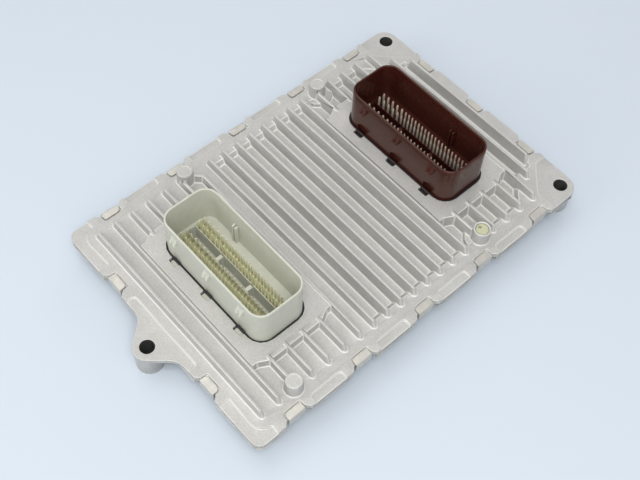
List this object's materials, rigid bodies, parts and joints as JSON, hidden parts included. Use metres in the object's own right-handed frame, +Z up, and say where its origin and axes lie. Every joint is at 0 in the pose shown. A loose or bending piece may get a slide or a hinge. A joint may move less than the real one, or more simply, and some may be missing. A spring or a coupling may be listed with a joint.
{
  "type": "engine control unit",
  "caption": "Ribbed die-cast engine control unit with a crimped sheet cover, standing feet with screw holes, and tall keyed pin headers in grey and dark brown.",
  "frame": {"origin": "middle of the unit's bounding box, on the plane of the three feet's lower faces", "axes": "+X along the unit's long side, away from the single mounting ear; +Y across it; +Z up, out of the mouths of the two headers"},
  "size_m": [0.2126, 0.1348, 0.04],
  "materials": {
    "cast_alloy": "as cast, fine grained satin",
    "plated_sheet": "plated, satin",
    "sealant": "matt",
    "grey_plastic": "moulded, fine matt",
    "brown_plastic": "moulded, satin",
    "plug_cream": "matt",
    "board_laminate": "solder resist",
    "screw_steel": "zinc plated",
    "chip_package": "matt",
    "crystal_can": "satin",
    "supply_parts": "matt",
    "heat_pad": "soft, matt"
  },
  "bodies": {
    "root": {"board_screw_1": "screw_steel", "board_screw_2": "screw_steel", "board_screw_3": "screw_steel", "board_screw_4": "screw_steel", "boss_plug": "plug_cream", "brown_header": "brown_plastic", "brown_header_seal": "sealant", "circuit_board": "board_laminate", "clock_crystal": "crystal_can", "cover": "plated_sheet", "cover_seal": "sealant", "flash_memory": "chip_package", "grey_header": "grey_plastic", "grey_header_seal": "sealant", "housing": "cast_alloy", "microcontroller": "chip_package", "power_driver_1": "chip_package", "power_driver_2": "chip_package", "power_driver_3": "chip_package", "power_driver_4": "chip_package", "signal_driver_1": "chip_package", "signal_driver_2": "chip_package", "signal_driver_3": "chip_package", "signal_driver_4": "chip_package", "signal_driver_5": "chip_package", "smoothing_capacitor_1": "supply_parts", "smoothing_capacitor_2": "supply_parts", "smoothing_capacitor_3": "supply_parts", "storage_choke": "supply_parts", "thermal_pad_1": "heat_pad", "thermal_pad_2": "heat_pad", "thermal_pad_3": "heat_pad", "thermal_pad_4": "heat_pad", "thermal_pad_5": "heat_pad", "voltage_regulator": "chip_package"}
  },
  "joints": []
}
